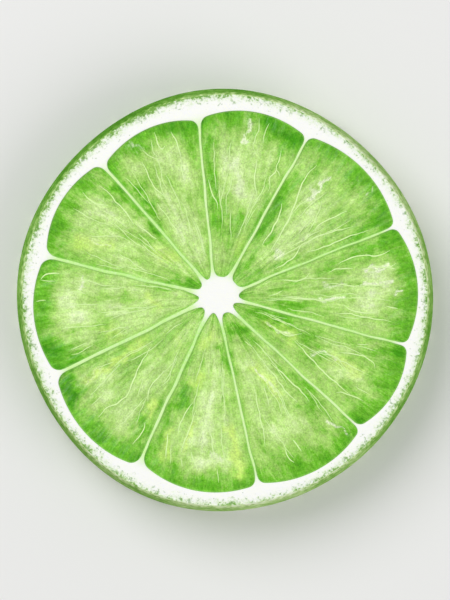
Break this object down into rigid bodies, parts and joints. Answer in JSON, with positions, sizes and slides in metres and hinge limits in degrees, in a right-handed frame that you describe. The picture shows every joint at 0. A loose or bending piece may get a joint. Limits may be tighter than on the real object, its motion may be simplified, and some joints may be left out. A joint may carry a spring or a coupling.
{
  "type": "lime slice",
  "caption": "Round slice cut straight across a fresh lime: green pulp segments between thin pale walls, a white star-shaped core, a pale pith ring and a rim of pitted green skin.",
  "frame": {"origin": "on the lower cut face, at the middle of the slice's box", "axes": "+Z up, from the lower cut face to the upper one; seen from above with +Y up, +X is to the right, as in the picture"},
  "size_m": [0.0498, 0.0506, 0.008],
  "materials": {
    "pulp": "satin",
    "pith": "matte",
    "skin": "satin"
  },
  "bodies": {
    "root": {"lime_slice": "pulp"}
  },
  "joints": []
}
